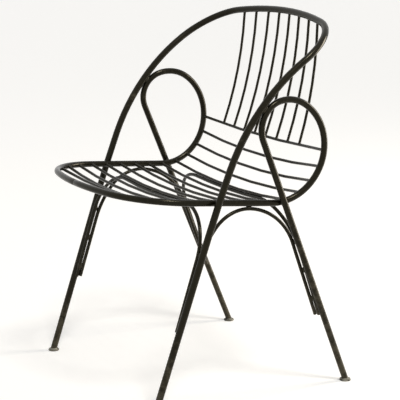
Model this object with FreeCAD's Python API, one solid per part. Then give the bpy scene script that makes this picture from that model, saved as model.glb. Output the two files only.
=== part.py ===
# Garden armchair of bent round bar: hoop, two looped side frames, slatted seat and back, arched braces.
# Millimetres. +Z up, the chair faces -Y, X runs across, the origin lies on the floor under its middle.
import FreeCAD, Part
import math
import os

from FreeCAD import Vector

os.makedirs("parts", exist_ok=True)

# Bars
hoop_bar = 15.0            # diameter of the bar that is front legs, arms and back top
frame_bar = 14.0           # diameter of the bars that are rear legs, loops and seat rim
seat_rod = 6.5
back_rod = 6.0
arch_rod = 8.0
weld_gap = 0.3             # between two round bars that a weld bead joins

# A bend is made up of short straight runs that meet in mitres
bend_chord_error = 0.4     # how far a run may stay inside its arc
rod_chord_error = 1.0      # the same for the wide arcs of the seat and back rods
widest_turn = 14.0         # degrees from one run to the next

# Hoop: front leg, arm and back top in one bend
front_foot_x = 256.3
front_foot_y = -242.9
front_leg_slope = 18.98    # degrees from upright, seen from the side
front_leg_splay = 0.65     # degrees outward, seen from the front
front_leg_length = 396.3
leg_bow_radius = 2625.0
leg_bow_angle = 3.07
arm_bend_radius = 468.0
arm_bend_angle = 34.69
hoop_corner_radius = 125.5
hoop_top_radius = 726.7

# Side frame: rear leg, arm loop, seat rail and half of the front rim in one bend
rear_foot_x = 254.2
rear_leg_slope = 22.12
rear_leg_splay = 1.18
rear_leg_surplus = 210.8   # by which its straight run is longer than the front leg's
loop_front_radius = 58.4
loop_front_angle = 98.25
loop_top_radius = 84.1
loop_top_angle = 49.45
loop_rear_radius = 112.5
loop_rear_angle = 150.33
loop_front_twist = 4.45    # degrees that the bending plane is turned before a bend of the loop
loop_top_twist = -5.60
steepest_rear_twist = 40.0
seat_rail_length = 185.1
rim_corner_radius = 152.6
rim_front_radius = 518.4

# Seat rods, counted from the back; places are measured along the side frame from the rear foot
seat_rod_count = 14
first_seat_rod_at = 895.6
rear_rod_count = 5         # rods on the rising rear part of the rail, at the closer pitch
rear_rod_pitch = 35.2
front_rod_pitch = 38.3
seat_sag = 15.0
end_rod_sag = 7.0          # the hindmost and the foremost rod sag less

# Back rods, half of them, from the middle outward
back_rod_top_x = (21.0, 63.0, 109.0, 151.5)
back_rod_foot_x = (23.0, 69.0, 115.0, 162.0)
back_rod_bow = 11.0

# Cross arches under the seat, one between the rear legs and one between the front legs
cross_arch_bend_radius = 102.0
cross_arch_crown_radius = 1900.0
front_arch_drop = 199.7    # from the top of the front leg's straight run down to the arch's ends
rear_arch_drop = 214.7     # from the same height
front_arch_setback = 0.0   # of the arch's ends, from the leg's middle towards the rear
rear_arch_setback = -4.0
rear_arch_rod_count = 5    # seat rods, counted from the back, up to the one that the arch carries
front_arch_rod_count = 10

# Side arches, beside the limbs of the cross arches and under the seat rail
side_arch_front_inset = 1.0       # from the limb towards the middle of the chair
side_arch_rear_inset = 6.1
side_arch_front_setback = 8.7     # from the limb towards the rear, at the arch's end
side_arch_rear_setback = -6.0
side_arch_front_shoulder_setback = 9.9
side_arch_rear_shoulder_setback = -8.0
side_arch_front_shoulder_rise = -22.9  # from the top of the front leg's straight run
side_arch_rear_shoulder_rise = 24.9
side_arch_crown_y = -52.0
side_arch_front_bend = 210.0
side_arch_crown_bend = 110.0
side_arch_rear_bend = 200.0
side_arch_crown_gap = 1.8         # under the seat rail, filled by a weld bead

# Foot glides and weld beads
glide_diameter = 26.0
glide_height = 4.0
glide_top_diameter = 23.5
bead_share = 0.62          # a bead's width over the thinner bar's diameter
bead_count = 3             # down each leg
bead_drop = 40.7           # from the top of the front leg's straight run to the highest bead
bead_pitch = 67.0

X_AXIS = Vector(1, 0, 0)
Z_AXIS = Vector(0, 0, 1)
halving_count = 40         # of a searched range
correction_count = 30      # of a place that is settled by its clearance
corner_share = 0.98        # most of a straight run that its corner bend may take

rear_leg_length = front_leg_length + rear_leg_surplus
leg_top = front_leg_length * math.cos(math.radians(front_leg_slope)) * math.cos(math.radians(front_leg_splay))
front_arch_end_height = leg_top - front_arch_drop
rear_arch_end_height = leg_top - rear_arch_drop


# Vectors and bars

def unit(vector):
    """The vector at length one."""
    return vector * (1.0 / vector.Length)


def mirrored(shape):
    """The same shape on the chair's other side."""
    return shape.mirror(Vector(0, 0, 0), X_AXIS)


def across(point):
    """The same point on the chair's other side."""
    return Vector(-point.x, point.y, point.z)


def find(function, low, high):
    """The value between low and high where a function changes sign."""
    rising = function(high) > function(low)
    for _ in range(halving_count):
        trial = (low + high) / 2
        if (function(trial) > 0) == rising:
            high = trial
        else:
            low = trial
    return (low + high) / 2


def settle(clearance, place, sense):
    """A place shifted by the clearance that is measured there until none is left."""
    for _ in range(correction_count):
        place += sense * clearance(place)
    return place


class Bender:
    """Bends a centreline: holds where the bar ends, where it points and to which side it bends next."""

    def __init__(self, start, direction, inside):
        self.point = start
        self.direction = unit(direction)
        self.inside = unit(inside)
        self.edges = []

    def straight(self, length):
        end = self.point + self.direction * length
        self.edges.append(Part.makeLine(self.point, end))
        self.point = end

    def twist(self, degrees):
        angle = math.radians(degrees)
        side = self.direction.cross(self.inside)
        self.inside = self.inside * math.cos(angle) + side * math.sin(angle)

    def bend(self, radius, degrees):
        angle = math.radians(degrees)

        def along(turned):
            ahead = self.direction * math.sin(turned)
            inward = self.inside * (1 - math.cos(turned))
            return self.point + (ahead + inward) * radius

        end = along(angle)
        self.edges.append(Part.Arc(self.point, along(angle / 2), end).toShape())
        ahead = self.direction * math.cos(angle) + self.inside * math.sin(angle)
        self.inside = self.inside * math.cos(angle) - self.direction * math.sin(angle)
        self.direction = ahead
        self.point = end

    def close_at_middle(self, corner_radius, crown_radius):
        """A corner bend and a wide one that end square to the plane of symmetry."""
        lean = math.asin(self.direction.x)
        self.inside = unit(self.direction * self.direction.x - X_AXIS)
        reach = (self.point.x - corner_radius * math.cos(lean)) / (crown_radius - corner_radius)
        turned = math.acos(reach)
        self.bend(corner_radius, math.degrees(turned + lean))
        self.bend(crown_radius, 90 - math.degrees(turned))


def run_points(edges, chord_error=bend_chord_error):
    """Points along a centreline, with each bend divided into an even number of straight runs."""
    points = [edges[0].valueAt(edges[0].FirstParameter)]
    for edge in edges:
        runs = 1
        if hasattr(edge.Curve, "Radius"):
            radius = edge.Curve.Radius
            step = min(2 * math.acos(1 - chord_error / radius), math.radians(widest_turn))
            runs = 2 * math.ceil(edge.Length / radius / step / 2)
        points += edge.discretize(Number=runs + 1)[1:]
    return points


def mitred_bar(points, first_cut, last_cut, diameter):
    """A round bar of straight runs, its ends cut square to the given directions."""
    headings = [unit(end - start) for start, end in zip(points, points[1:])]
    mitres = [unit(before + after) for before, after in zip(headings, headings[1:])]
    cuts = [first_cut] + mitres + [last_cut]
    runs = []
    for index, heading in enumerate(headings):
        start = points[index]
        end = points[index + 1]
        length = (end - start).Length + 2 * diameter
        blank = Part.makeCylinder(diameter / 2, length, start - heading * diameter, heading)
        before = Part.makeCylinder(2 * diameter, 2 * diameter, start, cuts[index] * -1)
        beyond = Part.makeCylinder(2 * diameter, 2 * diameter, end, cuts[index + 1])
        runs.append(blank.cut([before, beyond]))
    return runs[0].multiFuse(runs[1:]).Solids[0]


def sweep(edges, diameter, chord_error=bend_chord_error):
    """A round bar along a centreline."""
    first_cut = edges[0].tangentAt(edges[0].FirstParameter)
    last_cut = edges[-1].tangentAt(edges[-1].LastParameter)
    return mitred_bar(run_points(edges, chord_error), first_cut, last_cut, diameter)


def sweep_to_other_side(edges, diameter):
    """A round bar along a centreline that ends in the middle, and on along its mirror image."""
    points = run_points(edges)
    first_cut = edges[0].tangentAt(edges[0].FirstParameter)
    points += [across(point) for point in reversed(points[:-1])]
    return mitred_bar(points, first_cut, across(first_cut) * -1, diameter)


def axis_of(edges):
    """The axis of the straight runs along a centreline."""
    return Part.makePolygon(run_points(edges))


def leg_directions(slope, splay, rearward):
    """Direction of a leg and the side that its bar bends to, both in the leg's own leaning plane."""
    tilt = math.radians(splay)
    lean = math.radians(slope) * rearward
    rise = Vector(math.sin(tilt), 0, math.cos(tilt))
    direction = rise * math.cos(lean) + Vector(0, 1, 0) * math.sin(lean)
    inside = Vector(0, 1, 0) * math.cos(lean) - rise * math.sin(lean)
    return direction, inside


def filleted(points, radii):
    """Centreline along straight runs through the points, rounded at each inner point."""
    edges = []
    start = points[0]
    reach_used = 0.0
    for index, radius in enumerate(radii):
        corner = points[index + 1]
        back = unit(points[index] - corner)
        ahead = unit(points[index + 2] - corner)
        half_turn = (math.pi - back.getAngle(ahead)) / 2
        room = (points[index] - corner).Length - reach_used
        reach = min(radius * math.tan(half_turn), room * corner_share)
        rounded = reach / math.tan(half_turn)
        into_bend = corner + back * reach
        out_of_bend = corner + ahead * reach
        towards_centre = unit(back + ahead)
        crown = corner + towards_centre * (rounded / math.cos(half_turn) - rounded)
        edges.append(Part.makeLine(start, into_bend))
        edges.append(Part.Arc(into_bend, crown, out_of_bend).toShape())
        start = out_of_bend
        reach_used = reach
    edges.append(Part.makeLine(start, points[-1]))
    return edges


# Places on a centreline

def point_along(edges, distance):
    """The point of a centreline at a distance from its start."""
    for edge in edges:
        if distance <= edge.Length:
            return edge.valueAt(edge.getParameterByLength(distance))
        distance -= edge.Length
    return edges[-1].valueAt(edges[-1].LastParameter)


def point_at_x(edges, x):
    """The point of a centreline at a distance x from the plane of symmetry."""
    length = sum(edge.Length for edge in edges)
    return point_along(edges, find(lambda place: point_along(edges, place).x - x, 0, length))


def point_at_height(edges, height):
    """The point at a height in line with the first straight run of a centreline."""
    run = edges[0]
    start = run.valueAt(run.FirstParameter)
    rise = run.tangentAt(run.FirstParameter)
    return start + rise * ((height - start.z) / rise.z)


# Centrelines of the bent bars, right side of the chair

def hoop_centreline():
    """Front foot to the middle of the back top."""
    direction, inside = leg_directions(front_leg_slope, front_leg_splay, 1)
    bar = Bender(Vector(front_foot_x, front_foot_y, 0), direction, inside)
    bar.straight(front_leg_length)
    bar.bend(leg_bow_radius, leg_bow_angle)
    bar.bend(arm_bend_radius, arm_bend_angle)
    bar.close_at_middle(hoop_corner_radius, hoop_top_radius)
    return bar.edges


def frame_centreline(foot_y, rear_twist):
    """Rear foot, loop, seat rail and rim to the middle of the front."""
    direction, inside = leg_directions(rear_leg_slope, rear_leg_splay, -1)
    bar = Bender(Vector(rear_foot_x, foot_y, 0), direction, inside)
    bar.straight(rear_leg_length)
    bar.twist(loop_front_twist)
    bar.bend(loop_front_radius, loop_front_angle)
    bar.twist(loop_top_twist)
    bar.bend(loop_top_radius, loop_top_angle)
    bar.twist(rear_twist)
    bar.bend(loop_rear_radius, loop_rear_angle)
    bar.straight(seat_rail_length)
    bar.close_at_middle(rim_corner_radius, rim_front_radius)
    return bar.edges


def rail_clearance(rear_twist):
    """How far the rail stays from where it touches its own leg as it crosses it."""
    edges = frame_centreline(0, rear_twist)
    distance = edges[0].distToShape(axis_of(edges[3:5]))[0]
    return distance - frame_bar - weld_gap


def loop_clearance(foot_y):
    """How far the loop stays behind the place where it touches the hoop."""
    loop = axis_of(frame_centreline(foot_y, rear_twist)[1:3])
    return loop.distToShape(hoop_side)[0] - (hoop_bar + frame_bar) / 2 - weld_gap


def seat_rod_end(number):
    """Where a seat rod meets the centreline of the right rail."""
    at_rear = min(number, rear_rod_count) - 1
    at_front = max(number - rear_rod_count, 0)
    place = first_seat_rod_at + at_rear * rear_rod_pitch + at_front * front_rod_pitch
    return point_along(frame_line, place)


def seat_rod_line(number):
    """One wide arc from rail to rail, hanging down in the middle."""
    end = seat_rod_end(number)
    sag = end_rod_sag if number in (1, seat_rod_count) else seat_sag
    middle = Vector(0, end.y, end.z - sag)
    return Part.Arc(across(end), middle, end).toShape()


def back_rod_line(top_x, foot_x):
    """From the hindmost seat rod to the hoop's top, bowed to the rear."""
    top = point_at_x(hoop_line[-2:], top_x)
    foot = point_at_x([seat_rod_line(1)], foot_x)
    chord = unit(top - foot)
    rearward = unit(Vector(0, 1, 0) - chord * chord.y)
    return Part.Arc(foot, (top + foot) * 0.5 + rearward * back_rod_bow, top).toShape()


def cross_arch_line(leg_line, leg_bar, rod_number, end_height, setback):
    """Up the inner side of a leg, round under a seat rod and level to the middle of the chair."""
    rod = seat_rod_line(rod_number)
    rod_middle = rod.valueAt((rod.FirstParameter + rod.LastParameter) / 2)
    crown = rod_middle - Vector(0, 0, (seat_rod + arch_rod) / 2 + weld_gap)
    leg_end = point_at_height(leg_line, end_height)
    leg_top = point_at_height(leg_line, crown.z)
    end_y = leg_end.y + setback
    up = Vector(0, crown.y - end_y, crown.z - leg_end.z)
    height = up.Length
    up = unit(up)
    lean = math.atan2(leg_top.x - leg_end.x, height)
    limb_x = leg_end.x - ((leg_bar + arch_rod) / 2 + weld_gap) / math.cos(lean)
    both_radii = cross_arch_bend_radius + cross_arch_crown_radius
    reach = limb_x * math.cos(lean) - cross_arch_bend_radius
    reach += (height + cross_arch_crown_radius) * math.sin(lean)
    crown_angle = math.asin(reach / both_radii) - lean
    bend_centre = height + cross_arch_crown_radius - both_radii * math.cos(crown_angle)
    start = Vector(limb_x, end_y, leg_end.z)
    direction = up * math.cos(lean) + X_AXIS * math.sin(lean)
    bar = Bender(start, direction, up * math.sin(lean) - X_AXIS * math.cos(lean))
    bar.straight((bend_centre - cross_arch_bend_radius * math.sin(lean)) / math.cos(lean))
    bar.bend(cross_arch_bend_radius, 90 + math.degrees(crown_angle + lean))
    bar.twist(180)
    bar.bend(cross_arch_crown_radius, math.degrees(crown_angle))
    return bar.edges


def beside_limb(limb, height, setback, inset):
    """A point behind a cross arch's limb and towards the middle of the chair from it."""
    return point_at_height(limb, height) + Vector(-inset, setback, 0)


def side_arch_line(crown_height):
    """From the front leg up under the seat rail and down to the rear leg, in one upright plane."""
    front_end = beside_limb(front_arch_line, front_arch_end_height,
                            side_arch_front_setback, side_arch_front_inset)
    front_shoulder = beside_limb(front_arch_line, leg_top + side_arch_front_shoulder_rise,
                                 side_arch_front_shoulder_setback, side_arch_front_inset)
    crown = Vector(front_end.x, side_arch_crown_y, crown_height)
    rear_shoulder = beside_limb(rear_arch_line, leg_top + side_arch_rear_shoulder_rise,
                                side_arch_rear_shoulder_setback, side_arch_rear_inset)
    rear_end = beside_limb(rear_arch_line, rear_arch_end_height,
                           side_arch_rear_setback, side_arch_rear_inset)
    for point in (front_shoulder, crown, rear_shoulder):
        share = (point.y - front_end.y) / (rear_end.y - front_end.y)
        point.x = front_end.x + share * (rear_end.x - front_end.x)
    outline = (front_end, front_shoulder, crown, rear_shoulder, rear_end)
    return filleted(outline, (side_arch_front_bend, side_arch_crown_bend, side_arch_rear_bend))


def crown_clearance(crown_height):
    """How far the side arch stays below the place where it touches the seat rail."""
    arch = axis_of(side_arch_line(crown_height))
    return arch.distToShape(frame_rail)[0] - (frame_bar + arch_rod) / 2 - side_arch_crown_gap


# Solids

def stand_on_glide(bar):
    """The bar with its feet cut level on top of the glides."""
    box = bar.BoundBox
    depth = glide_height - box.ZMin
    corner = Vector(box.XMin, box.YMin, box.ZMin)
    return bar.cut(Part.makeBox(box.XLength, box.YLength, depth, corner))


def glide_under(leg_line):
    """A round pad, a little narrower at its top, centred on the leg's foot."""
    foot = point_at_height(leg_line, glide_height)
    base = Vector(foot.x, foot.y, 0)
    return Part.makeCone(glide_diameter / 2, glide_top_diameter / 2, glide_height, base)


def bead_at(point, line, bars, thinner_bar):
    """A weld bead from a bar's centreline point to the nearest one of another line, between the bars."""
    nearest = Part.Vertex(point).distToShape(line)[1][0][1]
    reach = nearest - point
    width = bead_share * thinner_bar
    bead = Part.makeBox(width, width, reach.Length, Vector(-width / 2, -width / 2, 0))
    bead.Placement = FreeCAD.Placement(point, FreeCAD.Rotation(Z_AXIS, reach))
    return bead.cut(bars).Solids


def bead_between(line, other_line, bars, thinner_bar):
    """A weld bead where two centrelines come closest."""
    point = line.distToShape(other_line)[1][0][0]
    return bead_at(point, other_line, bars, thinner_bar)


def crown_bead(arch_line, rod_number, arch):
    """A weld bead between the middle of a cross arch and the seat rod above it."""
    crown = arch_line[-1].valueAt(arch_line[-1].LastParameter)
    rod_axis = Part.Wire(seat_rod_line(rod_number))
    return bead_at(crown, rod_axis, [arch, seat_rods[rod_number - 1]], seat_rod)


def leg_beads(leg_line, cross_line, leg, cross_arch):
    """Beads down one leg that join the ends of a cross arch and a side arch to it."""
    beads = []
    cross_axis = axis_of(cross_line)
    for step in range(bead_count):
        on_leg = point_at_height(leg_line, leg_top - bead_drop - step * bead_pitch)
        on_arch = Part.Vertex(on_leg).distToShape(cross_axis)[1][0][1]
        beads += bead_at(on_leg, cross_axis, [leg, cross_arch], arch_rod)
        beads += bead_at(on_arch, side_axis, [cross_arch, side_arch], arch_rod)
    return beads


def save(name, solids):
    """One file per named piece, moved so that the origin lies under the middle of the chair's depth."""
    shape = solids[0] if len(solids) == 1 else Part.makeCompound(solids)
    shape.translated(Vector(0, -depth_middle, 0)).exportStep(f"parts/{name}.step")


def both_sides(solids):
    """Solids of the right side with their mirror images."""
    return solids + [mirrored(solid) for solid in solids]


hoop_line = hoop_centreline()
hoop_side = axis_of(hoop_line[:3])
rear_twist = find(rail_clearance, 0, steepest_rear_twist)
rear_foot_y = settle(loop_clearance, front_foot_y + rear_leg_length, -1)
frame_line = frame_centreline(rear_foot_y, rear_twist)
frame_loop = axis_of(frame_line[1:3])
frame_rail = axis_of(frame_line[3:5])
front_arch_line = cross_arch_line(hoop_line, hoop_bar, front_arch_rod_count, front_arch_end_height,
                                  front_arch_setback)
rear_arch_line = cross_arch_line(frame_line, frame_bar, rear_arch_rod_count, rear_arch_end_height,
                                 rear_arch_setback)
crown_height = settle(crown_clearance, leg_top, 1)
side_line = side_arch_line(crown_height)
side_axis = axis_of(side_line)

rim_front = frame_line[-1].valueAt(frame_line[-1].LastParameter).y - frame_bar / 2
glide_rear = point_at_height(frame_line, glide_height).y + glide_diameter / 2
depth_middle = (rim_front + glide_rear) / 2

hoop = stand_on_glide(sweep_to_other_side(hoop_line, hoop_bar))
frame_right = stand_on_glide(sweep(frame_line, frame_bar))
frame_left = mirrored(frame_right)
save("hoop", hoop.Solids)
save("side_frame_right", [frame_right])
save("side_frame_left", [frame_left])

seat_rods = []
for number in range(1, seat_rod_count + 1):
    rod = sweep([seat_rod_line(number)], seat_rod, rod_chord_error).cut([frame_right, frame_left])
    seat_rods.append(rod)
    save(f"seat_rod_{number:02d}", rod.Solids)

back_rods = []
for top_x, foot_x in zip(back_rod_top_x, back_rod_foot_x):
    rod = sweep([back_rod_line(top_x, foot_x)], back_rod, rod_chord_error).cut([hoop, seat_rods[0]])
    back_rods = [mirrored(rod)] + back_rods + [rod]
for number, rod in enumerate(back_rods, 1):
    save(f"back_rod_{number}", rod.Solids)

front_arch = sweep_to_other_side(front_arch_line, arch_rod)
rear_arch = sweep_to_other_side(rear_arch_line, arch_rod)
side_arch = sweep(side_line, arch_rod)
save("front_arch", front_arch.Solids)
save("rear_arch", rear_arch.Solids)
save("side_arch_right", [side_arch])
save("side_arch_left", [mirrored(side_arch)])

front_beads = leg_beads(hoop_line, front_arch_line, hoop, front_arch)
rear_beads = leg_beads(frame_line, rear_arch_line, frame_right, rear_arch)
save("front_leg_welds", both_sides(front_beads))
save("rear_leg_welds", both_sides(rear_beads))
save("foot_glides", both_sides([glide_under(hoop_line), glide_under(frame_line)]))

loop_beads = bead_between(frame_loop, hoop_side, [hoop, frame_right], frame_bar)
loop_beads += bead_between(frame_line[0], frame_rail, [frame_right], frame_bar)
save("loop_welds", both_sides(loop_beads))

crown_beads = both_sides(bead_between(side_axis, frame_rail, [side_arch, frame_right], arch_rod))
crown_beads += crown_bead(front_arch_line, front_arch_rod_count, front_arch)
crown_beads += crown_bead(rear_arch_line, rear_arch_rod_count, rear_arch)
save("arch_crown_welds", crown_beads)
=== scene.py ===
# %% [markdown]
# # A garden armchair of bent steel bar
# The chair is welded from round bars under one dark coat. One hoop is front legs, arms and back top.
# Two side frames are rear legs, arm loops, seat rails and the front rim. Thin rods fill seat and back,
# and four arched rods brace the legs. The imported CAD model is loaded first, because it says where
# every bar is and how large the whole chair may be.

import math

import bmesh
import bpy
from mathutils import Matrix, Quaternion, Vector, noise


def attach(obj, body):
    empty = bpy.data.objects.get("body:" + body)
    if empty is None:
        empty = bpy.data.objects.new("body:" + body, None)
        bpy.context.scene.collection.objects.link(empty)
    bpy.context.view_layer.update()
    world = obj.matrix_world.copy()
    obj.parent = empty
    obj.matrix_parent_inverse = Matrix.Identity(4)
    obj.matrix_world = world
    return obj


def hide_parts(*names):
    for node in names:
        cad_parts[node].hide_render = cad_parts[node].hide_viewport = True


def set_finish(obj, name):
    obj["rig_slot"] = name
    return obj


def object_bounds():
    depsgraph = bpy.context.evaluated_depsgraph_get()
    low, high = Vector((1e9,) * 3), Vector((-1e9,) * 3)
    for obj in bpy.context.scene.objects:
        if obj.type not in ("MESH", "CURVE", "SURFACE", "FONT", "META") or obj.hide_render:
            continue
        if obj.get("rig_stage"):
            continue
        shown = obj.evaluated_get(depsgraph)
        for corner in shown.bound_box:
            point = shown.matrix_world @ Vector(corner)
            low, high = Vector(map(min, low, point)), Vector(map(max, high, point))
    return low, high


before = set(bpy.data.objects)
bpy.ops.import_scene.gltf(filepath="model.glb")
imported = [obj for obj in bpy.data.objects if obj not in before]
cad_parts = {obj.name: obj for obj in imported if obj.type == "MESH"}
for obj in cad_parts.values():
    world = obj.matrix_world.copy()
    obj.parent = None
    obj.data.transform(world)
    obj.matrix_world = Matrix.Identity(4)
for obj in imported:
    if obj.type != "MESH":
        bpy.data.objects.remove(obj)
cad_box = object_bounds()
print("CAD nodes:", len(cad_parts), "box:", [tuple(round(x, 4) for x in corner) for corner in cad_box])

# %% [markdown]
# ## How a bar is bent
# A real bar is pushed straight through the bending machine, then wound round a former, then turned a
# little about itself before the next bend. It could be a curve with a round bevel, but then the exact
# bend radii of the CAD model would only be approached. A ring of points does what the machine does: it
# is extruded for a straight run and spun about the former's centre for a bend, so every radius is true.

# %% The bar bender
MM = 0.001
X_AXIS = Vector((1, 0, 0))
Y_AXIS = Vector((0, 1, 0))
BAR_SIDES = 28
RING_EVERY = 3.0             # degrees of bend from one ring of points to the next
SAMPLE = 1.0 * MM            # between the places that are compared when a touching place is looked for


def ring_points(ring):
    """The points of a ring of edges, each once and in the order of the edges."""
    return list(dict.fromkeys(point for edge in ring for point in edge.verts))


def leading_ring(parts):
    """Of what an operator has just made, the edges whose two ends are both new."""
    points = set(part for part in parts if isinstance(part, bmesh.types.BMVert))
    edges = [part for part in parts if isinstance(part, bmesh.types.BMEdge)]
    return [edge for edge in edges if all(point in points for point in edge.verts)]


class BarBender:
    """A round bar in the making: its mesh, where it ends, where it points and to which side it bends."""

    def __init__(self, diameter, start, direction, inside):
        self.mesh = bmesh.new()
        self.point = start.copy()
        self.direction = direction.normalized()
        self.inside = inside.normalized()
        self.runs = []
        turn = self.direction.to_track_quat("Z", "X").to_matrix().to_4x4()
        bmesh.ops.create_circle(self.mesh, radius=diameter / 2, segments=BAR_SIDES,
                                matrix=Matrix.Translation(start) @ turn)
        self.ring = list(self.mesh.edges)
        self.first_ring = list(self.mesh.edges)

    def straight(self, length):
        made = bmesh.ops.extrude_edge_only(self.mesh, edges=self.ring)["geom"]
        self.ring = leading_ring(made)
        bmesh.ops.translate(self.mesh, verts=ring_points(self.ring), vec=self.direction * length)
        start, direction = self.point, self.direction
        self.runs.append((length, lambda distance: start + direction * distance))
        self.point = start + direction * length

    def taper(self, length, share):
        """A straight run at whose end the bar has this share of its width."""
        self.straight(length)
        bmesh.ops.scale(self.mesh, verts=ring_points(self.ring), vec=(share, share, share),
                        space=Matrix.Translation(-self.point))

    def twist(self, degrees):
        self.inside = Quaternion(self.direction, math.radians(degrees)) @ self.inside

    def bend(self, radius, degrees):
        centre = self.point + self.inside * radius
        axis = self.direction.cross(self.inside)
        angle = math.radians(degrees)
        steps = max(2, math.ceil(degrees / RING_EVERY))
        parts = ring_points(self.ring) + self.ring
        made = bmesh.ops.spin(self.mesh, geom=parts, cent=centre, axis=axis, angle=angle, steps=steps,
                              use_merge=False, use_duplicate=False)["geom_last"]
        self.ring = leading_ring(made)
        arm = self.point - centre
        self.runs.append((radius * angle,
                          lambda distance: centre + Quaternion(axis, distance / radius) @ arm))
        turned = Quaternion(axis, angle)
        self.point = centre + turned @ arm
        self.direction = turned @ self.direction
        self.inside = turned @ self.inside

    def close_at_middle(self, corner_radius, crown_radius):
        """A corner bend and a wide one that end square to the chair's middle plane."""
        lean = math.asin(self.direction.x)
        self.inside = (self.direction * self.direction.x - X_AXIS).normalized()
        reach = (self.point.x - corner_radius * math.cos(lean)) / (crown_radius - corner_radius)
        turned = math.acos(reach)
        self.bend(corner_radius, math.degrees(turned + lean))
        self.bend(crown_radius, 90 - math.degrees(turned))

    def place(self, distance):
        """The point of the bar's centreline at a distance from its start."""
        for length, at in self.runs:
            if distance <= length:
                return at(distance)
            distance -= length
        return self.point

    def places(self, first=0.0, last=None, step=SAMPLE):
        """Points all along the centreline, or along a stretch of it."""
        last = last or sum(length for length, at in self.runs)
        return [self.place(first + count * step) for count in range(int((last - first) / step) + 1)]


trial = BarBender(14 * MM, Vector((0, 0, 0)), Vector((0, 0, 1)), Y_AXIS)
trial.straight(0.1)
trial.bend(0.05, 90)
ring_middle = sum((point.co for point in ring_points(trial.ring)), Vector()) / BAR_SIDES
print("bender: a quarter bend ends at", tuple(round(x, 4) for x in trial.point),
      "and its ring at", tuple(round(x, 4) for x in ring_middle))

# %% [markdown]
# ## From ring work to a finished piece
# The bar's mesh still has open ends, and spinning can leave its faces pointing inwards. Doubles are
# merged, the ends are closed and their rims rounded as a file would, and the normals are recalculated.
# Each piece rides on the chair's one rigid body and takes the place of a CAD node, whose bends
# are short straight runs. The coat's wear is stored in the mesh, in an attribute, because a round bar
# has hardly any sharp edges from which a material could find it.

# %% Finished pieces
MERGE_DISTANCE = 0.01 * MM
RIM_SEGMENTS = 3
ROUND_PROFILE = 0.5
SMOOTH_UP_TO = 38.0          # degrees between two faces that still look like one surface
made_pieces = {}
worn_places = []             # (where, how far it reaches, how strong)


def close_end(mesh, ring, rim):
    """A flat end with a rounded rim."""
    face = bmesh.ops.edgeloop_fill(mesh, edges=ring)["faces"][0]
    bmesh.ops.bevel(mesh, geom=list(face.edges), offset=rim, segments=RIM_SEGMENTS, profile=ROUND_PROFILE,
                    affect="EDGES", material=-1)


def everything(mesh):
    return list(mesh.verts) + list(mesh.edges) + list(mesh.faces)


def complete_by_mirror(mesh):
    """Adds the other side of a bar that ends in the middle plane, and joins the two there."""
    bmesh.ops.mirror(mesh, geom=everything(mesh), merge_dist=MERGE_DISTANCE, axis="X")


def mirrored_copy(mesh):
    """The same piece for the chair's other side."""
    other = mesh.copy()
    bmesh.ops.scale(other, verts=other.verts, vec=(-1, 1, 1))
    return other


def store_wear(data):
    """How worn the coat is at each point: most at a worn place and fading out around it."""
    wear = data.attributes.new("wear", "FLOAT", "POINT")
    for point, value in zip(data.vertices, wear.data):
        for where, reach, strength in worn_places:
            near = 1 - (point.co - where).length / reach
            value.value = max(value.value, near * strength)


def finish_piece(name, mesh, node, slot_name):
    """The mesh as an object that rides on the chair and stands for a CAD node."""
    bmesh.ops.remove_doubles(mesh, verts=mesh.verts, dist=MERGE_DISTANCE)
    bmesh.ops.recalc_face_normals(mesh, faces=mesh.faces)
    for face in mesh.faces:
        face.smooth = True
    data = bpy.data.meshes.new(name)
    mesh.to_mesh(data)
    mesh.free()
    data.set_sharp_from_angle(angle=math.radians(SMOOTH_UP_TO))
    store_wear(data)
    piece = bpy.data.objects.new(name, data)
    bpy.context.scene.collection.objects.link(piece)
    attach(piece, "root")
    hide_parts(node)
    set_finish(piece, slot_name)
    made_pieces[name] = piece


# %% [markdown]
# ## Where the coat is worn
# Hands rub the arms and the loops, the sitter's legs rub the front rim, and feet and rod ends are
# knocked. These places are listed before anything is made, since each piece stores its own wear.

# %% Worn places
DEPTH_SHIFT = 23.298 * MM    # the bars are measured from a line that lies this far before the middle


def at(x, y, z):
    """A place measured in millimetres in the bars' own frame."""
    return Vector((x * MM, y * MM + DEPTH_SHIFT, z * MM))


for side in (1, -1):
    worn_places += [
        (at(side * 262, -20, 590), 0.11, 0.42),      # front of the arm
        (at(side * 263, 60, 676), 0.10, 0.34),       # rear of the arm
        (at(side * 262, 60, 648), 0.05, 0.36),       # top of the loop
        (at(side * 256.3, -242.9, 0), 0.035, 0.75),  # front foot
        (at(side * 254.2, 241.1, 0), 0.035, 0.75),   # rear foot
        (at(side * 246.5, -182.7, 175), 0.010, 0.9),   # ends of the arched rods
        (at(side * 246.2, 172.1, 160), 0.010, 0.9),
        (at(side * 245.5, -174.0, 175), 0.010, 0.9),
        (at(side * 240.1, 166.1, 160), 0.010, 0.9),
    ]
worn_places.append((at(0, -298, 462), 0.12, 0.35))   # middle of the front rim
print("worn places:", len(worn_places))

# %% [markdown]
# ## Hoop
# Front legs, arms and back top are one bar of 15 mm. It starts at the right front foot, leans back,
# bows a little, bends over the arm, turns the corner of the back and ends in the middle of its top.
# The other half is its mirror image. The foot is cut level where it stands on its glide.

# %% Make the hoop
HOOP_BAR = 15.0 * MM
GLIDE_HEIGHT = 4.0 * MM
FOOT_SINK = 0.3 * MM         # of the bar into its glide
FRONT_FOOT = (256.3, -242.9, 0)
FRONT_LEG_SLOPE = 18.98      # degrees from upright, seen from the side
FRONT_LEG_SPLAY = 0.65       # degrees outward, seen from the front
FRONT_LEG_LENGTH = 396.3 * MM
LEG_BOW_RADIUS = 2625 * MM
LEG_BOW_ANGLE = 3.07
ARM_BEND_RADIUS = 468 * MM
ARM_BEND_ANGLE = 34.69
BACK_CORNER_RADIUS = 125.5 * MM
HOOP_TOP_RADIUS = 726.7 * MM


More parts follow.
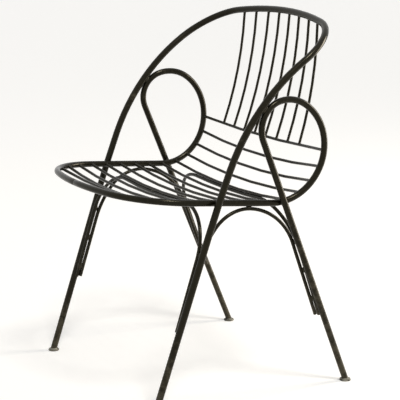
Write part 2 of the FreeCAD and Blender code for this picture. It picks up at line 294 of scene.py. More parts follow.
def leg_directions(slope, splay, rearward):
    """Direction of a leg and the side that its bar bends to."""
    tilt = math.radians(splay)
    lean = math.radians(slope) * rearward
    rise = Vector((math.sin(tilt), 0, math.cos(tilt)))
    direction = rise * math.cos(lean) + Y_AXIS * math.sin(lean)
    inside = Y_AXIS * math.cos(lean) - rise * math.sin(lean)
    return direction, inside


def cut_foot(mesh):
    """Cuts a leg level, just under the top of its glide, and closes the cut."""
    cut = bmesh.ops.bisect_plane(mesh, geom=everything(mesh), plane_co=(0, 0, GLIDE_HEIGHT - FOOT_SINK),
                                 plane_no=(0, 0, 1), clear_inner=True)["geom_cut"]
    bmesh.ops.edgeloop_fill(mesh, edges=[part for part in cut if isinstance(part, bmesh.types.BMEdge)])


hoop = BarBender(HOOP_BAR, at(*FRONT_FOOT), *leg_directions(FRONT_LEG_SLOPE, FRONT_LEG_SPLAY, 1))
hoop.straight(FRONT_LEG_LENGTH)
hoop.bend(LEG_BOW_RADIUS, LEG_BOW_ANGLE)
hoop.bend(ARM_BEND_RADIUS, ARM_BEND_ANGLE)
hoop.close_at_middle(BACK_CORNER_RADIUS, HOOP_TOP_RADIUS)
cut_foot(hoop.mesh)
complete_by_mirror(hoop.mesh)
finish_piece("hoop_bar", hoop.mesh, "hoop", "coated_bar")
print("hoop: top at", round(hoop.point.z / MM, 1), "mm")

# %% [markdown]
# ## Side frames
# Each is one bar of 14 mm: rear leg, arm loop, seat rail and half of the front rim. The loop isn't
# flat. Between its bends the bar is turned a few degrees about itself, so that the rail comes down
# inside its own leg and touches it. The right one is bent, and the left one is its mirror image.

# %% Make the side frames
FRAME_BAR = 14.0 * MM
REAR_FOOT = (254.2, 241.131, 0)
REAR_LEG_SLOPE = 22.12       # degrees from upright, seen from the side
REAR_LEG_SPLAY = 1.18        # degrees outward, seen from the front
REAR_LEG_LENGTH = 607.1 * MM
LOOP_BENDS = (               # twist of the bar before the bend, radius and angle of the bend
    (4.45, 58.4 * MM, 98.25),
    (-5.60, 84.1 * MM, 49.45),
    (10.264, 112.5 * MM, 150.33),
)
RAIL_LENGTH = 185.1 * MM
SEAT_CORNER_RADIUS = 152.6 * MM
SEAT_FRONT_RADIUS = 518.4 * MM
BAR_END_RIM = 0.4 * MM       # at the bar's end in the middle of the front rim

side_frame = BarBender(FRAME_BAR, at(*REAR_FOOT), *leg_directions(REAR_LEG_SLOPE, REAR_LEG_SPLAY, -1))
side_frame.straight(REAR_LEG_LENGTH)
for twist, radius, angle in LOOP_BENDS:
    side_frame.twist(twist)
    side_frame.bend(radius, angle)
rail_start = sum(length for length, run in side_frame.runs)
side_frame.straight(RAIL_LENGTH)
side_frame.close_at_middle(SEAT_CORNER_RADIUS, SEAT_FRONT_RADIUS)
cut_foot(side_frame.mesh)
close_end(side_frame.mesh, [edge for edge in side_frame.mesh.edges if edge.is_boundary], BAR_END_RIM)
finish_piece("side_frame_bar_left", mirrored_copy(side_frame.mesh), "side_frame_left", "coated_bar")
finish_piece("side_frame_bar_right", side_frame.mesh, "side_frame_right", "coated_bar")
print("side frame: front rim at", round(side_frame.point.z / MM, 1), "mm")

# %% [markdown]
# ## Seat rods
# Fourteen rods of 6.5 mm run from rail to rail and hang down in the middle, so the seat is a shallow
# trough. Each is one wide arc. At its ends it widens into a small collar of weld that lies against the
# rail, and the rod itself stops inside the rail's skin.

# %% Make the seat rods
SEAT_ROD = 6.5 * MM
FIRST_SEAT_ROD_AT = 895.6 * MM     # along the side frame from its foot
REAR_ROD_PITCH = 35.2 * MM
FRONT_ROD_PITCH = 38.3 * MM
REAR_ROD_COUNT = 5
SEAT_ROD_COUNT = 14
SEAT_SAG = 15.0 * MM
END_ROD_SAG = 7.0 * MM
COLLAR_STEP = 1.5 * MM             # the collar narrows to the rod in two steps of this length
COLLAR_SHARES = (0.85, 0.80)       # and keeps this share of its width in each
END_SET_BACK = 0.72                # of a thicker bar's radius, from its centreline to the rod's end


def bowed_rod(diameter, start, middle, end, start_back, end_back):
    """A rod on the arc through three places, its collared ends set back from the first and the last."""
    chord = (end - start).normalized()
    bulge = middle - (start + end) / 2
    half_chord = (end - start).length / 2
    radius = (half_chord ** 2 + bulge.length ** 2) / (2 * bulge.length)
    half_angle = 2 * math.atan(bulge.length / half_chord)
    outward = bulge.normalized()
    direction = chord * math.cos(half_angle) + outward * math.sin(half_angle)
    inside = chord * math.sin(half_angle) - outward * math.cos(half_angle)
    centre = start + inside * radius
    skipped = Quaternion(direction.cross(inside), start_back / radius)
    collar_width = diameter / (COLLAR_SHARES[0] * COLLAR_SHARES[1])
    rod = BarBender(collar_width, centre + skipped @ (start - centre), skipped @ direction, skipped @ inside)
    for share in COLLAR_SHARES:
        rod.taper(COLLAR_STEP, share)
    collars = 2 * len(COLLAR_SHARES) * COLLAR_STEP
    turned = 2 * half_angle - (start_back + end_back + collars) / radius
    rod.bend(radius, math.degrees(turned))
    for share in reversed(COLLAR_SHARES):
        rod.taper(COLLAR_STEP, 1 / share)
    for ring in (rod.first_ring, rod.ring):
        bmesh.ops.edgeloop_fill(rod.mesh, edges=ring)
    return rod


def seat_rod_end(number):
    """Where a seat rod, counted from the back, meets the centreline of the right rail."""
    at_rear = min(number, REAR_ROD_COUNT) - 1
    at_front = max(number - REAR_ROD_COUNT, 0)
    return side_frame.place(FIRST_SEAT_ROD_AT + at_rear * REAR_ROD_PITCH + at_front * FRONT_ROD_PITCH)


def across(place):
    """The same place on the chair's other side."""
    return Vector((-place.x, place.y, place.z))


RAIL_SET_BACK = END_SET_BACK * FRAME_BAR / 2
seat_rods = []
for number in range(1, SEAT_ROD_COUNT + 1):
    end = seat_rod_end(number)
    sag = END_ROD_SAG if number in (1, SEAT_ROD_COUNT) else SEAT_SAG
    middle = Vector((0, end.y, end.z - sag))
    seat_rods.append(bowed_rod(SEAT_ROD, across(end), middle, end, RAIL_SET_BACK, RAIL_SET_BACK))
for number, rod in enumerate(seat_rods, 1):
    finish_piece(f"seat_rod_bar_{number:02d}", rod.mesh, f"seat_rod_{number:02d}", "coated_bar")
print("seat rods:", len(seat_rods))

# %% [markdown]
# ## Back rods
# Eight rods of 6 mm stand on the hindmost seat rod and reach up to the hoop, bowed to the rear. They
# spread a little towards their feet. Four are set out from the middle and repeated on the other side.

# %% Make the back rods
BACK_ROD = 6.0 * MM
BACK_ROD_TOP_X = (21.0, 63.0, 109.0, 151.5)
BACK_ROD_FOOT_X = (23.0, 69.0, 115.0, 162.0)
BACK_ROD_BOW = 11.0 * MM
HOOP_SET_BACK = END_SET_BACK * HOOP_BAR / 2
SEAT_ROD_SET_BACK = 0.25 * SEAT_ROD
HOOP_TOP_FROM = 0.95         # metres along the hoop, past the arm
FINE_SAMPLE = 0.1 * MM


def nearest_to_x(places, x):
    return min(places, key=lambda place: abs(place.x - x))


def back_rod(top_x, foot_x):
    top = nearest_to_x(hoop_top, top_x)
    foot = nearest_to_x(rod_tops, foot_x)
    chord = (top - foot).normalized()
    rearward = (Y_AXIS - chord * chord.y).normalized()
    middle = (top + foot) / 2 + rearward * BACK_ROD_BOW
    return bowed_rod(BACK_ROD, foot, middle, top, SEAT_ROD_SET_BACK, HOOP_SET_BACK)


hoop_top = hoop.places(HOOP_TOP_FROM, step=FINE_SAMPLE)
rod_tops = seat_rods[0].places(step=FINE_SAMPLE)
half_back = [back_rod(top * MM, foot * MM) for top, foot in zip(BACK_ROD_TOP_X, BACK_ROD_FOOT_X)]
back_meshes = [mirrored_copy(rod.mesh) for rod in reversed(half_back)] + [rod.mesh for rod in half_back]
for number, mesh in enumerate(back_meshes, 1):
    finish_piece(f"back_rod_bar_{number}", mesh, f"back_rod_{number}", "coated_bar")
print("back rods:", len(back_meshes))

# %% [markdown]
# ## Arches under the seat
# Rods of 8 mm brace the legs. A cross arch climbs the inner side of a leg, bends over under a seat rod
# and comes down at the other leg. A side arch joins the front and rear legs of one side and touches
# the seat rail at its crown. Their sawn ends show beside the legs, so these get a filed rim.

# %% Make the arches
ARCH_ROD = 8.0 * MM
ARCH_RIM = 0.7 * MM
CROSS_BEND_RADIUS = 102 * MM
CROSS_CROWN_RADIUS = 1900 * MM
CROSS_ARCHES = {             # start, shoulder, angle of the bend and angle of the half crown
    "front_arch": ((246.485, -182.697, 175.030), (248.171, -135.473, 323.615), 94.807, 4.187),
    "rear_arch": ((246.194, 172.071, 160.030), (249.321, 117.617, 311.850), 95.331, 4.221),
}
SIDE_ARCH_START = (245.485, -173.997, 175.030)
SIDE_ARCH_SHOULDER = (244.782, -129.616, 311.751)
SIDE_ARCH_END = (240.094, 166.071, 160.030)
SIDE_ARCH_CLIMB = 143.745 * MM
SIDE_ARCH_BENDS = (          # radius, angle and the straight run after the bend
    (210 * MM, 22.693, 1.140 * MM),
    (94.438 * MM, 61.201, 1.543 * MM),
    (136.492 * MM, 57.964, 179.629 * MM),
)


def start_arch(start, shoulder, towards):
    """A rod that climbs from its sawn end to its shoulder and will bend towards a side."""
    climb = (shoulder - start).normalized()
    return BarBender(ARCH_ROD, start, climb, towards - climb * towards.dot(climb))


def cross_arch(name, start, shoulder, bend_angle, crown_angle):
    arch = start_arch(start, shoulder, -X_AXIS)
    arch.straight((shoulder - start).length)
    arch.bend(CROSS_BEND_RADIUS, bend_angle)
    arch.twist(180)
    arch.bend(CROSS_CROWN_RADIUS, crown_angle)
    close_end(arch.mesh, arch.first_ring, ARCH_RIM)
    complete_by_mirror(arch.mesh)
    finish_piece(name + "_rod", arch.mesh, name, "coated_bar")
    return arch


cross_arches = {name: cross_arch(name, at(*start), at(*shoulder), bend_angle, crown_angle)
                for name, (start, shoulder, bend_angle, crown_angle) in CROSS_ARCHES.items()}

side_start, side_end = at(*SIDE_ARCH_START), at(*SIDE_ARCH_END)
side_arch = start_arch(side_start, at(*SIDE_ARCH_SHOULDER),
                       Vector((side_end.x - side_start.x, side_end.y - side_start.y, 0)).normalized())
side_arch.straight(SIDE_ARCH_CLIMB)
for radius, angle, run in SIDE_ARCH_BENDS:
    side_arch.bend(radius, angle)
    side_arch.straight(run)
for ring in (side_arch.first_ring, side_arch.ring):
    close_end(side_arch.mesh, ring, ARCH_RIM)
finish_piece("side_arch_left_rod", mirrored_copy(side_arch.mesh), "side_arch_left", "coated_bar")
finish_piece("side_arch_right_rod", side_arch.mesh, "side_arch_right", "coated_bar")
miss = (side_arch.point - side_end).length / MM
print("side arch ends", round(miss, 2), "mm from where the CAD model's does")

# %% [markdown]
# ## Weld beads
# Where two bars touch, a short bead of weld lies in the groove between them. The CAD model has a small
# block there. Here each bead is a ball pressed into a long lens between the two bars and roughened by
# noise, which gives the uneven skin of hand welding. The places come from the bars' centrelines.

# %% Make the weld beads
BEAD_DROP = 40.7 * MM        # from the top of the front leg's straight run to the highest bead
BEAD_PITCH = 67.0 * MM
BEAD_COUNT = 3
BEAD_SUBDIVISIONS = 4
BEAD_HALF_LENGTH = 0.85      # over the thinner bar's diameter
BEAD_HALF_WIDTH = 0.50
BEAD_HALF_DEPTH = 0.36
BEAD_LUMPS = 0.12            # height of the lumps over the bead's half width
LUMP_SIZE = 2.6 * MM
FINE_LUMPS = 0.5             # height of the fine lumps over that of the others
FINENESS = 2.3
LOOP_BEAD_BAR = 0.8 * FRAME_BAR
LEG_STRETCH = 100 * MM       # of a leg, that gives its direction
ARM_STRETCH = (380 * MM, 800 * MM)     # along the hoop, where the loop touches it
LOOP_STRETCH = 180 * MM      # along the side frame past its leg
LEG_TOP_FROM = 300 * MM      # along the side frame, the part of its leg near the rail
RAIL_STRETCH = (-120 * MM, 190 * MM)   # from the start of the rail
CROWN_RODS = {"front_arch": 10, "rear_arch": 5}   # the seat rod that a cross arch carries


def closest(places, others):
    """The two places where two centrelines come closest, and the direction of the first one there."""
    pairs = [(min(((place - other).length, j) for j, other in enumerate(others)), i)
             for i, place in enumerate(places)]
    (_, j), i = min(pairs)
    along = (places[min(i + 1, len(places) - 1)] - places[max(i - 1, 0)]).normalized()
    return places[i], others[j], along


def add_bead(mesh, place, other, along, radius, thinner_bar):
    """A lumpy lens where a bar of this radius at the first place faces the bar at the other."""
    facing = (other - place).normalized()
    along = (along - facing * along.dot(facing)).normalized()
    axes = Matrix((along, facing.cross(along), facing)).transposed().to_4x4()
    size = Matrix.Diagonal((BEAD_HALF_LENGTH * thinner_bar, BEAD_HALF_WIDTH * thinner_bar,
                            BEAD_HALF_DEPTH * thinner_bar, 1))
    matrix = Matrix.Translation(place + facing * radius) @ axes @ size
    points = bmesh.ops.create_icosphere(mesh, subdivisions=BEAD_SUBDIVISIONS, radius=1,
                                        matrix=matrix)["verts"]
    centre = matrix.translation
    for point in points:
        lump = noise.noise(point.co / LUMP_SIZE) + FINE_LUMPS * noise.noise(point.co / LUMP_SIZE * FINENESS)
        outward = (point.co - centre).normalized()
        point.co += outward * lump * BEAD_LUMPS * BEAD_HALF_WIDTH * thinner_bar


def add_other_side(mesh):
    """Repeats beads on the chair's other side."""
    copied = bmesh.ops.duplicate(mesh, geom=everything(mesh))["geom"]
    points = [part for part in copied if isinstance(part, bmesh.types.BMVert)]
    bmesh.ops.scale(mesh, verts=points, vec=(-1, 1, 1))


def up_the_leg(leg):
    """A vector along the straight run that each leg begins with."""
    return leg.place(LEG_STRETCH) - leg.place(0)


def leg_beads(name, leg, leg_bar, arch):
    """Three beads down a leg and three more between the two arched rods beside it."""
    mesh = bmesh.new()
    direction = up_the_leg(leg)
    leg_top = hoop.place(FRONT_LEG_LENGTH).z
    for step in range(BEAD_COUNT):
        height = leg_top - BEAD_DROP - step * BEAD_PITCH
        on_leg = leg.place(height / direction.normalized().z)
        _, on_arch, _ = closest([on_leg], arch_places[arch])
        _, on_side, _ = closest([on_arch], arch_places[side_arch])
        add_bead(mesh, on_leg, on_arch, direction, leg_bar / 2, ARCH_ROD)
        add_bead(mesh, on_arch, on_side, direction, ARCH_ROD / 2, ARCH_ROD)
    add_other_side(mesh)
    finish_piece(name + "_beads", mesh, name, "coated_weld")


arch_places = {arch: arch.places() for arch in (*cross_arches.values(), side_arch)}
leg_beads("front_leg_welds", hoop, HOOP_BAR, cross_arches["front_arch"])
leg_beads("rear_leg_welds", side_frame, FRAME_BAR, cross_arches["rear_arch"])

arm_places = hoop.places(*ARM_STRETCH)
loop_places = side_frame.places(REAR_LEG_LENGTH, REAR_LEG_LENGTH + LOOP_STRETCH)
leg_places = side_frame.places(LEG_TOP_FROM, REAR_LEG_LENGTH)
rail_places = side_frame.places(rail_start + RAIL_STRETCH[0], rail_start + RAIL_STRETCH[1])
loop_mesh = bmesh.new()
add_bead(loop_mesh, *closest(arm_places, loop_places), HOOP_BAR / 2, LOOP_BEAD_BAR)
add_bead(loop_mesh, *closest(leg_places, rail_places), FRAME_BAR / 2, LOOP_BEAD_BAR)
add_other_side(loop_mesh)
finish_piece("loop_welds_beads", loop_mesh, "loop_welds", "coated_weld")

crown_mesh = bmesh.new()
add_bead(crown_mesh, *closest(arch_places[side_arch], rail_places), ARCH_ROD / 2, ARCH_ROD)
add_other_side(crown_mesh)
for name, rod_number in CROWN_RODS.items():
    rod_middle = min(seat_rods[rod_number - 1].places(), key=lambda place: abs(place.x))
    add_bead(crown_mesh, cross_arches[name].point, rod_middle, X_AXIS, ARCH_ROD / 2, SEAT_ROD)
finish_piece("arch_crown_welds_beads", crown_mesh, "arch_crown_welds", "coated_weld")
print("weld beads made on", sum("beads" in name for name in made_pieces), "pieces")

# %% [markdown]
# ## Foot glides
# Each leg stands on a thin round glide that is a little wider than the bar. It is turned from a short
# cone with both rims rounded, and a low socket rises from its top and leans with the leg.

# %% Make the foot glides
GLIDE_RADIUS = 13.0 * MM
GLIDE_TOP_RADIUS = 11.75 * MM
GLIDE_RIM = 0.9 * MM
SOCKET_WALL = 1.5 * MM       # that the socket stands out from the bar at its foot
SOCKET_HEIGHT = 2.4 * MM
GLIDE_SIDES = 56


def add_glide(mesh, leg, bar):
    direction = up_the_leg(leg).normalized()
    foot = leg.place(GLIDE_HEIGHT / direction.z)
    matrix = Matrix.Translation((foot.x, foot.y, GLIDE_HEIGHT / 2))
    points = bmesh.ops.create_cone(mesh, cap_ends=True, segments=GLIDE_SIDES, radius1=GLIDE_RADIUS,
                                   radius2=GLIDE_TOP_RADIUS, depth=GLIDE_HEIGHT, matrix=matrix)["verts"]
    faces = list(dict.fromkeys(face for point in points for face in point.link_faces))
    caps = [face for face in faces if len(face.verts) == GLIDE_SIDES]
    rims = [edge for cap in caps for edge in cap.edges]
    bmesh.ops.bevel(mesh, geom=rims, offset=GLIDE_RIM, segments=RIM_SEGMENTS, profile=ROUND_PROFILE,
                    affect="EDGES", material=-1)
    top = max((face for face in mesh.faces if len(face.verts) == GLIDE_SIDES
               and (face.calc_center_median() - foot).length < GLIDE_RADIUS),
              key=lambda face: face.calc_center_median().z)
    socket = bar / 2 + SOCKET_WALL
    bmesh.ops.inset_region(mesh, faces=[top], thickness=GLIDE_TOP_RADIUS - GLIDE_RIM - socket)
    raised = bmesh.ops.extrude_face_region(mesh, geom=[top])["geom"]
    raised_points = [part for part in raised if isinstance(part, bmesh.types.BMVert)]
    bmesh.ops.delete(mesh, geom=[top], context="FACES_ONLY")
    bmesh.ops.translate(mesh, verts=raised_points, vec=direction * SOCKET_HEIGHT)
    middle = sum((point.co for point in raised_points), Vector()) / len(raised_points)
    share = bar / 2 / socket
    bmesh.ops.scale(mesh, verts=raised_points, vec=(share, share, 1), space=Matrix.Translation(-middle))


glide_mesh = bmesh.new()
add_glide(glide_mesh, hoop, HOOP_BAR)
add_glide(glide_mesh, side_frame, FRAME_BAR)
add_other_side(glide_mesh)
finish_piece("foot_glide_discs", glide_mesh, "foot_glides", "glide")
print("pieces in all:", len(made_pieces))

# %% [markdown]
# ## The coat, part by part
# The real coat is a dark bronze-black powder coat with a fine pebbled skin. Three effects are shared
# by the bars, the beads and the glides, so each is a node group: cloudy colour, pebbled height and
# worn places. All of them read Object coordinates, which stay with the bar in any view.

# %% Node groups of the coat
NODE_STEP = 200
CLOUD_RANGE = (0.36, 0.64)   # of the noise, that becomes 0 to 1
SPOT_RANGE = (0.45, 0.70)
WORN_RANGE = (0.88, 1.08)    # of wear and noise together
PEBBLE_HEIGHT = -0.6         # negative, since the pattern's distance is lowest in a pebble's middle


def new_group(name, inputs, outputs):
    """An empty shader node group with named number sockets."""
    group = bpy.data.node_groups.new(name, "ShaderNodeTree")
    for socket, value in inputs.items():
        made = group.interface.new_socket(name=socket, in_out="INPUT", socket_type="NodeSocketFloat")
        made.default_value = value
    for socket in outputs:
        group.interface.new_socket(name=socket, in_out="OUTPUT", socket_type="NodeSocketFloat")
    return group


def add_node(tree, kind, **values):
    """A node to the right of the last one, with its named settings."""
    node = tree.nodes.new(kind)
    node.location = (NODE_STEP * len(tree.nodes), 0)
    for name, value in values.items():
        setattr(node, name, value)
    return node


def calculate(tree, operation, first, second):
    """A Math node of two numbers or sockets."""
    node = add_node(tree, "ShaderNodeMath", operation=operation)
    for socket, value in zip(node.inputs, (first, second)):
        if isinstance(value, (int, float)):
            socket.default_value = value
        else:
            tree.links.new(value, socket)
    return node.outputs[0]


def cloud(tree, place, scale, detail, roughness=0.55):
    """Noise in Object coordinates, at a scale that may be a socket."""
    node = add_node(tree, "ShaderNodeTexNoise")
    node.inputs["Detail"].default_value = detail
    node.inputs["Roughness"].default_value = roughness
    tree.links.new(place, node.inputs["Vector"])
    if isinstance(scale, (int, float)):
        node.inputs["Scale"].default_value = scale
    else:
        tree.links.new(scale, node.inputs["Scale"])
    return node.outputs["Fac"]


def ranged(tree, value, low, high, low_to=0.0, high_to=1.0):
    """A Map Range node that is held within its new ends."""
    node = add_node(tree, "ShaderNodeMapRange")
    tree.links.new(value, node.inputs["Value"])
    for name, amount in (("From Min", low), ("From Max", high), ("To Min", low_to), ("To Max", high_to)):
        node.inputs[name].default_value = amount
    return node.outputs["Result"]


def cloudy_coat():
    """Large clouds and small spots of tone, each 0 to 1."""
    group = new_group("cloudy_coat", {"Cloud Scale": 14.0, "Spot Scale": 160.0}, ("Clouds", "Spots"))
    start, end = add_node(group, "NodeGroupInput"), add_node(group, "NodeGroupOutput")
    place = add_node(group, "ShaderNodeTexCoord").outputs["Object"]
    clouds = ranged(group, cloud(group, place, start.outputs["Cloud Scale"], detail=4), *CLOUD_RANGE)
    spots = ranged(group, cloud(group, place, start.outputs["Spot Scale"], detail=3), *SPOT_RANGE)
    group.links.new(clouds, end.inputs["Clouds"])
    group.links.new(spots, end.inputs["Spots"])
    return group


def pebbled_skin():
    """Height of the fine pebbles and of the slow waves under them."""
    group = new_group("pebbled_skin", {"Pebble Scale": 900.0, "Wave Scale": 120.0}, ("Height",))
    start, end = add_node(group, "NodeGroupInput"), add_node(group, "NodeGroupOutput")
    place = add_node(group, "ShaderNodeTexCoord").outputs["Object"]
    pebbles = add_node(group, "ShaderNodeTexVoronoi", feature="SMOOTH_F1")
    group.links.new(place, pebbles.inputs["Vector"])
    group.links.new(start.outputs["Pebble Scale"], pebbles.inputs["Scale"])
    waves = cloud(group, place, start.outputs["Wave Scale"], detail=3)
    skin = calculate(group, "MULTIPLY", pebbles.outputs["Distance"], PEBBLE_HEIGHT)
    height = calculate(group, "ADD", skin, waves)
    group.links.new(height, end.inputs["Height"])
    return group


def worn_coat():
    """Where the coat is worn: the mesh's wear, broken up by noise."""
    group = new_group("worn_coat", {"Break Scale": 55.0, "Wear": 0.0}, ("Worn",))
    start, end = add_node(group, "NodeGroupInput"), add_node(group, "NodeGroupOutput")
    place = add_node(group, "ShaderNodeTexCoord").outputs["Object"]
    broken = cloud(group, place, start.outputs["Break Scale"], detail=6, roughness=0.65)
    both = calculate(group, "ADD", start.outputs["Wear"], broken)
    worn = ranged(group, both, *WORN_RANGE)
    group.links.new(worn, end.inputs["Worn"])
    return group


coat_groups = {make.__name__: make() for make in (cloudy_coat, pebbled_skin, worn_coat)}
print("node groups:", sorted(coat_groups))

# %% [markdown]
# ## Coat, beads and glides as materials
# The three finishes are built by one function from the same groups with their own values. Colour goes
# from a near black to a brown bronze in clouds, lighter spots of dust lie in it, and worn places show
# a paler tone. Roughness and bump vary with the same masks, so that light breaks up along a bar.

# %% Materials
BUMP_DISTANCE = 0.25 * MM
WARM_SHEEN = (1.0, 0.92, 0.68)
DUST_SHARE = 0.5
MIX_COLOURS = (6, 7)         # places of a Mix node's two colour sockets
MIX_RESULT = 2               # and of its colour result


def blend_colours(tree, mask, first, second):
    """A colour between two, each a plain colour or a socket."""
    node = add_node(tree, "ShaderNodeMix", data_type="RGBA")
    tree.links.new(mask, node.inputs["Factor"])
    for socket, value in zip((node.inputs[place] for place in MIX_COLOURS), (first, second)):
        if isinstance(value, tuple):
            socket.default_value = (*value, 1)
        else:
            tree.links.new(value, socket)
    return node.outputs[MIX_RESULT]


def use_group(tree, name, **values):
    node = add_node(tree, "ShaderNodeGroup", node_tree=coat_groups[name])
    for socket, value in values.items():
        node.inputs[socket.replace("_", " ")].default_value = value
    return node


def coat(name, dark, bronze, dust, worn_tone, smooth, rough, specular, bump, pebbles, worn_rough):
    """A material of cloudy colour, dust, worn places and a pebbled skin."""
    material = bpy.data.materials.new(name)
    material.use_nodes = True
    tree = material.node_tree
    shader = tree.nodes["Principled BSDF"]
    tones = use_group(tree, "cloudy_coat")
    skin = use_group(tree, "pebbled_skin", Pebble_Scale=pebbles)
    worn = use_group(tree, "worn_coat")
    wear = add_node(tree, "ShaderNodeAttribute", attribute_name="wear")
    tree.links.new(wear.outputs["Fac"], worn.inputs["Wear"])
    clouded = blend_colours(tree, tones.outputs["Clouds"], dark, bronze)
    dusty = calculate(tree, "MULTIPLY", tones.outputs["Spots"], DUST_SHARE)
    dusted = blend_colours(tree, dusty, clouded, dust)
    colour = blend_colours(tree, worn.outputs["Worn"], dusted, worn_tone)
    tree.links.new(colour, shader.inputs["Base Color"])
    gloss = ranged(tree, tones.outputs["Clouds"], 0.0, 1.0, smooth, rough)
    roughness = calculate(tree, "ADD", gloss, calculate(tree, "MULTIPLY", worn.outputs["Worn"], worn_rough))
    tree.links.new(roughness, shader.inputs["Roughness"])
    bumps = add_node(tree, "ShaderNodeBump")
    bumps.inputs["Strength"].default_value = bump
    bumps.inputs["Distance"].default_value = BUMP_DISTANCE
    height = calculate(tree, "SUBTRACT", skin.outputs["Height"], worn.outputs["Worn"])
    tree.links.new(height, bumps.inputs["Height"])
    tree.links.new(bumps.outputs["Normal"], shader.inputs["Normal"])
    shader.inputs["Metallic"].default_value = 0.0
    shader.inputs["Specular IOR Level"].default_value = specular
    shader.inputs["Specular Tint"].default_value = (*WARM_SHEEN, 1)
    return material


finishes = {
    "coated_bar": coat("bronze_black_coat", dark=(0.0025, 0.0023, 0.0014), bronze=(0.007, 0.006, 0.003),
                       dust=(0.018, 0.016, 0.010), worn_tone=(0.060, 0.053, 0.038), smooth=0.16, rough=0.26,
                       specular=0.20, bump=0.06, pebbles=850.0, worn_rough=-0.03),
    "coated_weld": coat("bronze_black_weld", dark=(0.007, 0.0065, 0.0045), bronze=(0.020, 0.017, 0.010),
                        dust=(0.050, 0.046, 0.032), worn_tone=(0.075, 0.068, 0.050), smooth=0.26, rough=0.36,
                        specular=0.34, bump=0.30, pebbles=600.0, worn_rough=-0.03),
    "glide": coat("glide_black", dark=(0.010, 0.0095, 0.007), bronze=(0.018, 0.017, 0.012),
                  dust=(0.085, 0.080, 0.066), worn_tone=(0.30, 0.29, 0.25), smooth=0.42, rough=0.58,
                  specular=0.24, bump=0.20, pebbles=500.0, worn_rough=0.05),
}
for piece in made_pieces.values():
    piece.data.materials.append(finishes[piece["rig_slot"]])
print("materials:", sorted(finishes))

# %% [markdown]
# ## Floor and light
# The chair stands in a white studio. The floor is plain and pale and keeps the soft shadow of the
# bars. The world is white where the camera or a reflection sees it and dimmer as a light. A tall warm
# softbox at the right and behind draws the long bright rim on the bars' right sides. It has to be tall,
# because the bars lean both ways. A lamp from above draws the sheen on the loops and rails.

# %% Floor and light
FLOOR_REACH = 40.0
FLOOR_WHITE = 0.86
FLOOR_ROUGHNESS = 0.9
FLOOR_SHEEN = 0.1
FLOOR_GLOW = 0.32            # that only the camera and reflections see
WORLD_LIGHT = 0.30
SOFTBOX_AZIMUTH = 168
SOFTBOX_ELEVATION = 12
SOFTBOX_WIDTH = 0.8
SOFTBOX_HEIGHT = 2.6
SOFTBOX_DISTANCE = 2.8
SOFTBOX_RADIANCE = 13.0
SOFTBOX_COLOUR = (1.0, 0.91, 0.77)
TOP_LAMP_AZIMUTH = 95
TOP_LAMP_ELEVATION = 62
TOP_LAMP_STRENGTH = 1.4
TOP_LAMP_SPREAD = 12         # degrees
TOP_LAMP_COLOUR = (1.0, 0.97, 0.90)

floor_mesh = bmesh.new()
bmesh.ops.create_grid(floor_mesh, x_segments=1, y_segments=1, size=FLOOR_REACH)
floor_data = bpy.data.meshes.new("studio_floor")
floor_mesh.to_mesh(floor_data)
floor_mesh.free()
floor = bpy.data.objects.new("studio_floor", floor_data)
bpy.context.scene.collection.objects.link(floor)
floor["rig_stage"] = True


def seen_directly(tree):
    """1 for rays of the camera, of reflections and of glass, and 0 for light."""
    rays = add_node(tree, "ShaderNodeLightPath")
    seen = calculate(tree, "MAXIMUM", rays.outputs["Is Camera Ray"], rays.outputs["Is Glossy Ray"])
    return calculate(tree, "MAXIMUM", seen, rays.outputs["Is Transmission Ray"])


floor_finish = bpy.data.materials.new("pale_floor")
floor_finish.use_nodes = True
floor_shader = floor_finish.node_tree.nodes["Principled BSDF"]
floor_shader.inputs["Base Color"].default_value = (FLOOR_WHITE, FLOOR_WHITE, FLOOR_WHITE, 1)
floor_shader.inputs["Roughness"].default_value = FLOOR_ROUGHNESS
floor_shader.inputs["Specular IOR Level"].default_value = FLOOR_SHEEN
floor_shader.inputs["Emission Color"].default_value = (1, 1, 1, 1)
glow = calculate(floor_finish.node_tree, "MULTIPLY", seen_directly(floor_finish.node_tree), FLOOR_GLOW)
floor_finish.node_tree.links.new(glow, floor_shader.inputs["Emission Strength"])
floor_data.materials.append(floor_finish)

world = bpy.data.worlds.new("white_studio")
world.use_nodes = True
bpy.context.scene.world = world
sky = world.node_tree.nodes["Background"]
strength = ranged(world.node_tree, seen_directly(world.node_tree), 0, 1, WORLD_LIGHT, 1.0)
world.node_tree.links.new(strength, sky.inputs["Strength"])
sky.inputs["Color"].default_value = (1, 1, 1, 1)


def lamp_towards(name, kind, azimuth, elevation, colour, distance=0.0):
    """A lamp that shines at the chair. Azimuth 0 is before the chair and 90 beside its right legs."""
    lamp = bpy.data.lights.new(name, kind)
    lamp.color = colour
    holder = bpy.data.objects.new(name, lamp)
    turn, rise = math.radians(azimuth), math.radians(elevation)
    towards = Vector((math.sin(turn) * math.cos(rise), -math.cos(turn) * math.cos(rise), math.sin(rise)))
    holder.location = towards * distance
    holder.rotation_mode = "QUATERNION"
    holder.rotation_quaternion = towards.to_track_quat("Z", "Y")
    bpy.context.scene.collection.objects.link(holder)
    return lamp


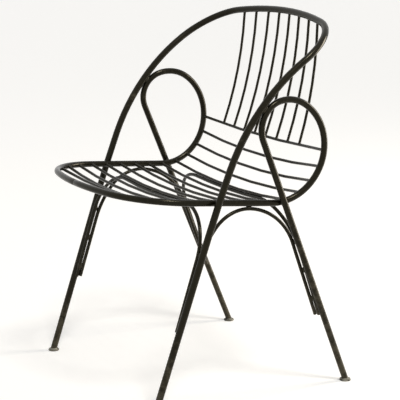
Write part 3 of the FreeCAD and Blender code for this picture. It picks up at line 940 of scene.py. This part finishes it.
softbox = lamp_towards("tall_softbox", "AREA", SOFTBOX_AZIMUTH, SOFTBOX_ELEVATION, SOFTBOX_COLOUR,
                       SOFTBOX_DISTANCE)
softbox.shape = "RECTANGLE"
softbox.size, softbox.size_y = SOFTBOX_WIDTH, SOFTBOX_HEIGHT
softbox.energy = SOFTBOX_RADIANCE * math.pi * SOFTBOX_WIDTH * SOFTBOX_HEIGHT
top_lamp = lamp_towards("top_lamp", "SUN", TOP_LAMP_AZIMUTH, TOP_LAMP_ELEVATION, TOP_LAMP_COLOUR)
top_lamp.energy = TOP_LAMP_STRENGTH
top_lamp.angle = math.radians(TOP_LAMP_SPREAD)

# %% [markdown]
# ## Camera
# The photograph was taken from the front and from the side of the right legs, with a long lens and a
# little from above. A camera could be placed by eye, but the bars are only a few pixels wide, so these
# values were solved from the chair's own outline: direction, lens, distance and the small shift that
# cropping the picture left.

# %% Camera
CAMERA_AZIMUTH = 60.822
CAMERA_ELEVATION = 12.664
CAMERA_ROLL = -0.12
CAMERA_DISTANCE = 3.2079
CAMERA_TARGET = Vector((0, 0.0185, 0.388))
CAMERA_LENS = 128.91
CAMERA_SENSOR = 36
CAMERA_SHIFT = 0.0168
VIEW_REACH = 200.0

turn, rise = math.radians(CAMERA_AZIMUTH), math.radians(CAMERA_ELEVATION)
back = Vector((math.sin(turn) * math.cos(rise), -math.cos(turn) * math.cos(rise), math.sin(rise)))
camera = bpy.data.objects.new("camera", bpy.data.cameras.new("camera"))
bpy.context.scene.collection.objects.link(camera)
camera.location = CAMERA_TARGET + back * CAMERA_DISTANCE
camera.rotation_mode = "QUATERNION"
camera.rotation_quaternion = back.to_track_quat("Z", "Y") @ Quaternion((0, 0, 1), math.radians(CAMERA_ROLL))
camera.data.lens = CAMERA_LENS
camera.data.sensor_width = CAMERA_SENSOR
camera.data.shift_x = CAMERA_SHIFT
camera.data.clip_end = VIEW_REACH
bpy.context.scene.camera = camera
bpy.context.scene.view_settings.view_transform = "Standard"
print("camera at", tuple(round(x, 3) for x in camera.location))

# %% [markdown]
# ## Size
# The dressed chair's box is measured and printed beside the CAD model's box. The dressed chair has
# to stay inside the CAD model's box.

# %% Measure and finish
visual_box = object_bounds()
for label, box in (("CAD", cad_box), ("visual", visual_box)):
    print(label, [round((high - low) / MM, 1) for low, high in zip(*box)])
